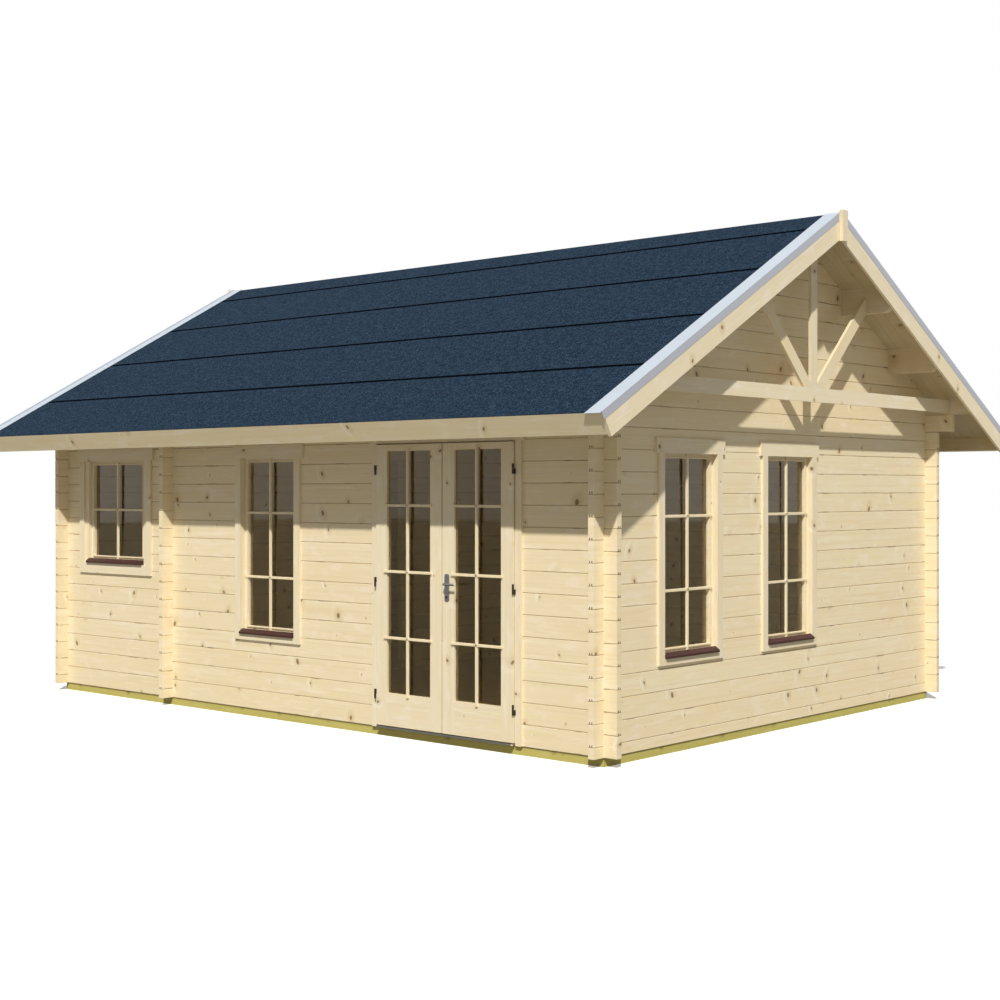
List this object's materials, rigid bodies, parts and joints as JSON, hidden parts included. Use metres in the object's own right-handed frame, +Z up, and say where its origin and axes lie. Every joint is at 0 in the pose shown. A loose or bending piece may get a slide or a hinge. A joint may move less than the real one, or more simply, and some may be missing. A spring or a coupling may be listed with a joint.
{
  "type": "summer house",
  "caption": "Log-built timber summer house with a felted gable roof, a gable truss, barred windows with casings and a glazed double door that swings out.",
  "frame": {"origin": "on the ground under the middle of the house", "axes": "+X along the front wall to the right gable, +Y to the back wall, +Z up"},
  "size_m": [6.684, 5.4332, 3.6349],
  "materials": {
    "logs": "planed spruce logs, unpainted",
    "boards": "planed spruce boards, unpainted",
    "treated_beams": "green pressure-treated timber",
    "sills": "dark brown painted timber",
    "felt": "blue-grey mineral roofing felt",
    "zinc": "light grey coated sheet",
    "glass": "clear pane",
    "hinge_iron": "dark painted steel",
    "handle_steel": "satin"
  },
  "bodies": {
    "house": {"foundation_long_beams": "treated_beams", "foundation_cross_beams": "treated_beams", "floor_boards": "boards", "front_wall_beside_openings": "logs", "front_wall_below_windows": "logs", "front_wall_over_openings": "logs", "back_wall": "logs", "top_wall_logs": "logs", "left_gable_wall": "logs", "right_gable_beside_windows": "logs", "right_gable_below_windows": "logs", "right_gable_over_windows": "logs", "partition_beside_doorway": "logs", "partition_over_doorway": "logs", "cross_log_ends": "logs", "purlins": "logs", "front_roof_boards": "boards", "back_roof_boards": "boards", "front_roof_felt": "felt", "back_roof_felt": "felt", "eave_fascias": "boards", "front_bargeboards": "boards", "back_bargeboards": "boards", "front_verge_trims": "zinc", "back_verge_trims": "zinc", "apex_covers": "boards", "truss_tie_beam": "boards", "truss_king_post": "boards", "truss_struts": "boards", "window_frame_sides": "boards", "window_frame_rails": "boards", "window_sashes": "boards", "window_glass": "glass", "window_sills": "sills", "casing_side_boards": "boards", "casing_cross_boards": "boards", "door_frame_sides": "boards", "door_frame_crosspieces": "boards", "door_hinge_plates": "hinge_iron"},
    "left_door": {"left_door_stiles": "boards", "left_door_rails": "boards", "left_door_glass": "glass", "left_door_hinges": "hinge_iron"},
    "right_door": {"right_door_stiles": "boards", "right_door_rails": "boards", "right_door_glass": "glass", "right_door_hinges": "hinge_iron", "right_door_handle": "handle_steel"}
  },
  "joints": [
    {"name": "left_door_hinge", "type": "hinge", "parent": "house", "child": "left_door", "pos_m": [0.92625, -2.187, 1], "axis": [0, 0, -1], "range_deg": [0, 110]},
    {"name": "right_door_hinge", "type": "hinge", "parent": "house", "child": "right_door", "pos_m": [2.18575, -2.187, 1], "axis": [0, 0, 1], "range_deg": [0, 110]}
  ]
}
